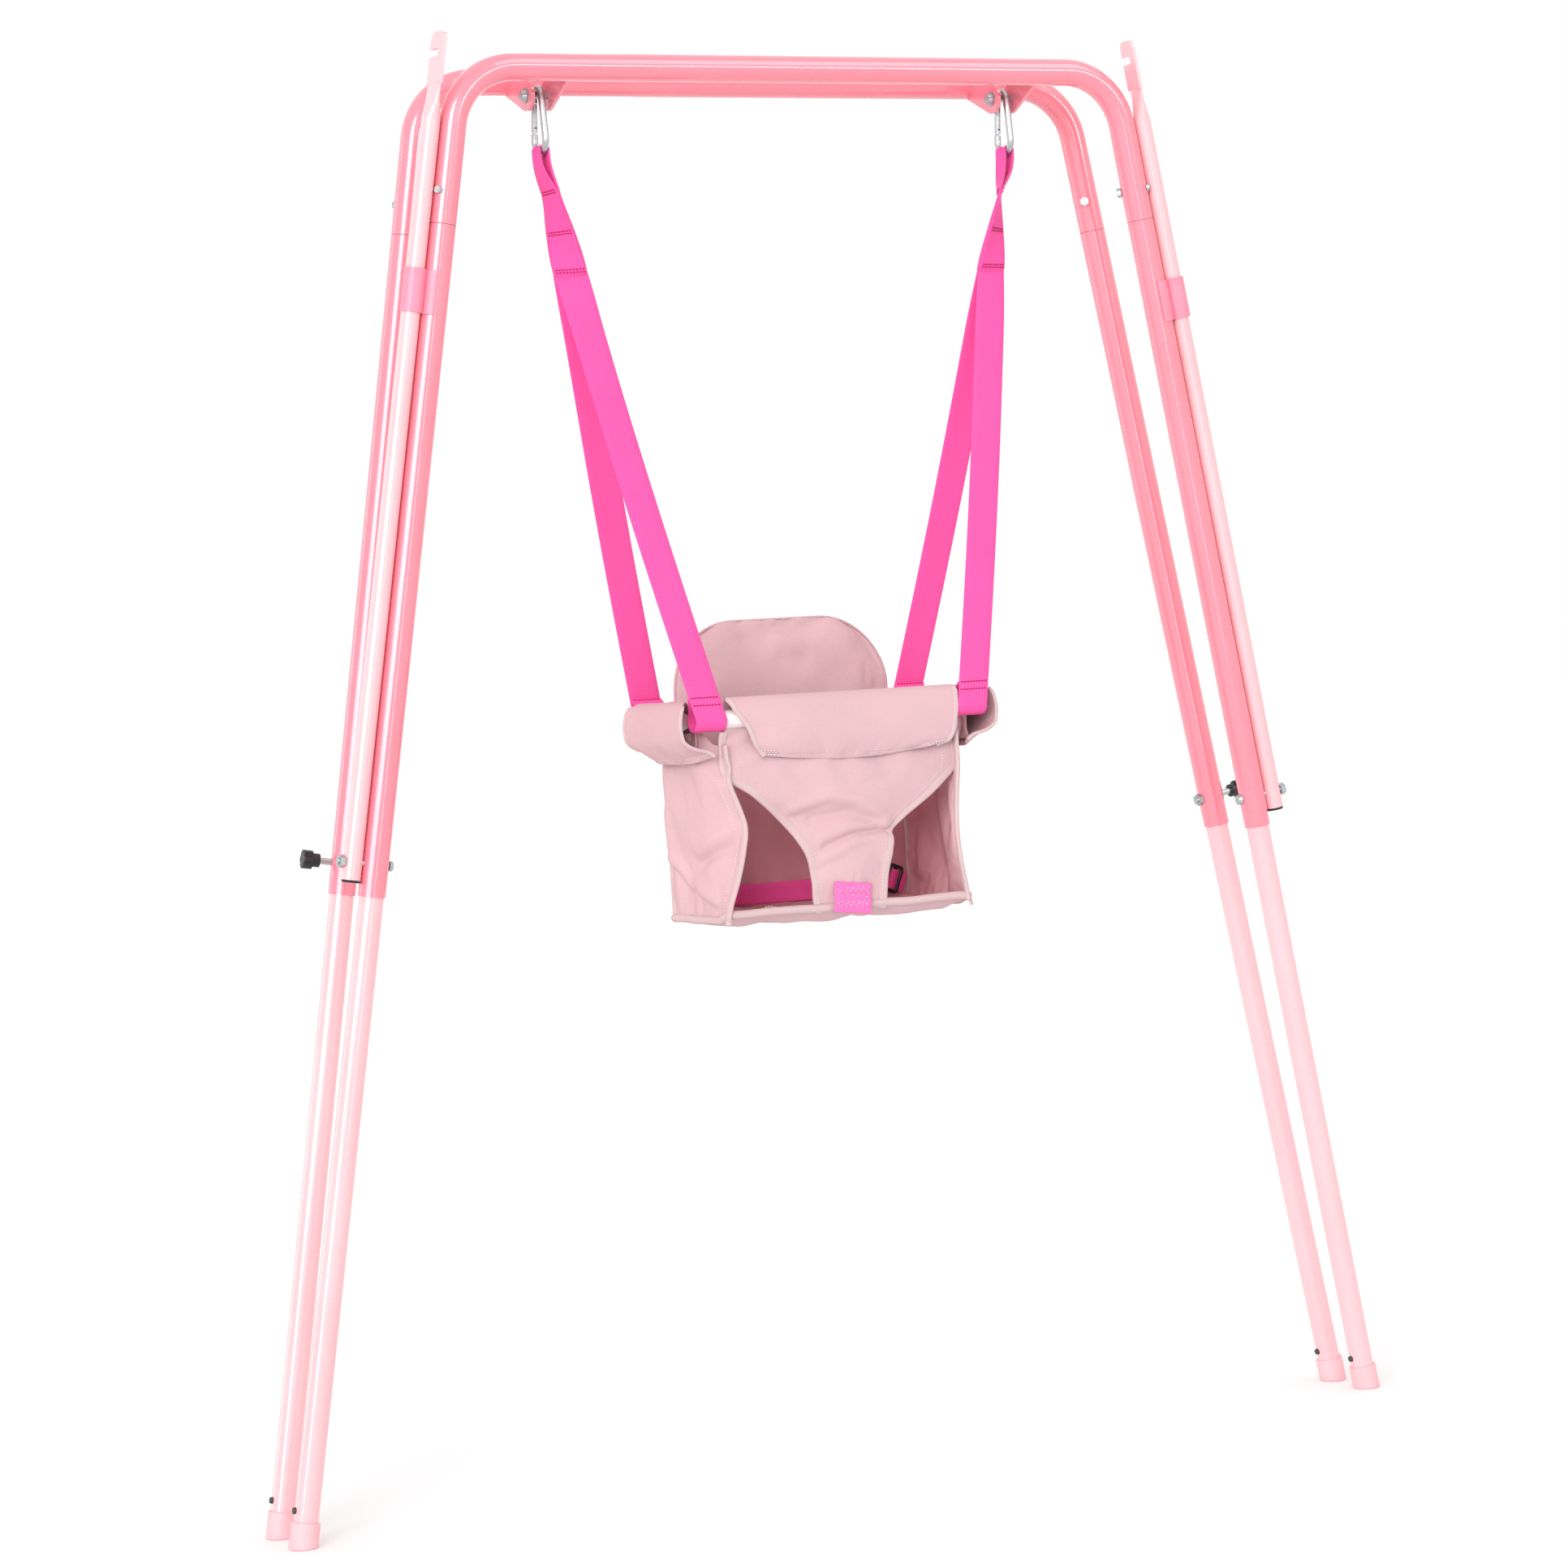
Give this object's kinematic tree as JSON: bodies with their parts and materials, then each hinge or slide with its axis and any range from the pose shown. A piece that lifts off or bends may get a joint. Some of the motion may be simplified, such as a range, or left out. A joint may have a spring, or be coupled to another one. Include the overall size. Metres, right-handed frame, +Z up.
{
  "type": "folding toddler swing",
  "caption": "Folding tube-frame toddler swing with hinged inverted-U frames, stowed spreader struts and a padded fabric bucket seat on webbing straps.",
  "frame": {"origin": "on the floor, midway between the feet, under the hinge axis", "axes": "+X to the right of the seat, +Y to the rear (the backrest side), +Z up"},
  "size_m": [1.4638, 0.177, 1.699],
  "materials": {
    "salmon_paint": "gloss powder coat",
    "pale_paint": "gloss powder coat",
    "zinc_steel": "zinc plated",
    "dark_steel": "blackened",
    "pink_plastic": "moulded",
    "pale_plastic": "moulded",
    "black_plastic": "moulded",
    "webbing": "woven polypropylene webbing",
    "seat_fabric": "padded cotton canvas",
    "white_plastic": "moulded"
  },
  "bodies": {
    "hanger": {"hinge_bolts": "zinc_steel", "hinge_nuts": "zinc_steel", "hinge_washers": "zinc_steel"},
    "front_frame": {"front_bow": "salmon_paint", "front_hinge_ears": "salmon_paint", "front_left_upper_leg": "salmon_paint", "front_left_lower_leg": "pale_paint", "front_left_foot": "pale_plastic", "front_right_upper_leg": "salmon_paint", "front_right_lower_leg": "pale_paint", "front_right_foot": "pale_plastic", "front_bow_bolts": "zinc_steel", "front_bow_nuts": "zinc_steel", "front_foot_screws": "dark_steel", "strut_pivot_bolts": "zinc_steel", "strut_pivot_nuts": "zinc_steel", "left_strut_clip": "pink_plastic", "right_strut_clip": "pink_plastic"},
    "rear_frame": {"rear_bow": "salmon_paint", "rear_hinge_ears": "salmon_paint", "rear_left_upper_leg": "salmon_paint", "rear_left_lower_leg": "pale_paint", "rear_left_foot": "pale_plastic", "rear_right_upper_leg": "salmon_paint", "rear_right_lower_leg": "pale_paint", "rear_right_foot": "pale_plastic", "rear_bow_bolts": "zinc_steel", "rear_bow_nuts": "zinc_steel", "rear_foot_screws": "dark_steel", "knob_nuts": "zinc_steel"},
    "swing": {"carabiner_gate_pins": "zinc_steel", "front_dowel": "white_plastic", "rear_dowel": "white_plastic", "left_dowel": "white_plastic", "right_dowel": "white_plastic", "seat_front_panel": "seat_fabric", "seat_left_panel": "seat_fabric", "seat_right_panel": "seat_fabric", "seat_back_panel": "seat_fabric", "seat_base": "seat_fabric", "crotch_tab": "webbing", "lap_belt": "webbing", "belt_slider": "black_plastic", "left_carabiner": "zinc_steel", "left_strap": "webbing", "right_carabiner": "zinc_steel", "right_strap": "webbing"},
    "left_strut": {"left_strut": "pale_paint", "left_strut_plug": "black_plastic"},
    "left_knob": {"left_knob": "black_plastic", "left_knob_screw": "zinc_steel"},
    "left_gate": {"left_carabiner_gate": "zinc_steel"},
    "right_strut": {"right_strut": "pale_paint", "right_strut_plug": "black_plastic"},
    "right_knob": {"right_knob": "black_plastic", "right_knob_screw": "zinc_steel"},
    "right_gate": {"right_carabiner_gate": "zinc_steel"}
  },
  "joints": [
    {"name": "front_fold", "type": "hinge", "parent": "hanger", "child": "front_frame", "pos_m": [0, 0, 1.63576], "axis": [-1, 0, 0], "range_deg": [0, 28.6]},
    {"name": "rear_fold", "type": "hinge", "parent": "hanger", "child": "rear_frame", "pos_m": [0, 0, 1.63576], "axis": [1, 0, 0], "range_deg": [0, 28.6]},
    {"name": "seat_swing", "type": "hinge", "parent": "hanger", "child": "swing", "pos_m": [0, 0, 1.63576], "axis": [1, 0, 0], "range_deg": [-40, 40]},
    {"name": "left_strut_swing", "type": "hinge", "parent": "front_frame", "child": "left_strut", "pos_m": [-0.61228, -0.051, 0.76568], "axis": [-0.9817, -0.0912, 0.1673], "range_deg": [0, 62.63]},
    {"name": "left_knob_turn", "type": "hinge", "parent": "rear_frame", "child": "left_knob", "pos_m": [-0.62406, 0.0521, 0.76768], "axis": [-0.9817, 0.0912, 0.1673], "continuous": true},
    {"name": "left_gate_open", "type": "hinge", "parent": "swing", "child": "left_gate", "pos_m": [-0.309, 0.01473, 1.59807], "axis": [1, 0, 0], "range_deg": [0, 22], "stiffness_Nm_per_rad": 0.08, "springref_deg": -8.59},
    {"name": "right_strut_swing", "type": "hinge", "parent": "front_frame", "child": "right_strut", "pos_m": [0.61228, -0.051, 0.76568], "axis": [-0.9817, 0.0912, -0.1673], "range_deg": [0, 62.63]},
    {"name": "right_knob_turn", "type": "hinge", "parent": "rear_frame", "child": "right_knob", "pos_m": [0.62406, 0.0521, 0.76768], "axis": [0.9817, 0.0912, 0.1673], "continuous": true},
    {"name": "right_gate_open", "type": "hinge", "parent": "swing", "child": "right_gate", "pos_m": [0.309, 0.01473, 1.59807], "axis": [1, 0, 0], "range_deg": [0, 22], "stiffness_Nm_per_rad": 0.08, "springref_deg": -8.59}
  ],
  "couplings": [
    {"joint": "rear_fold", "follows": "front_fold", "ratio": 1}
  ]
}
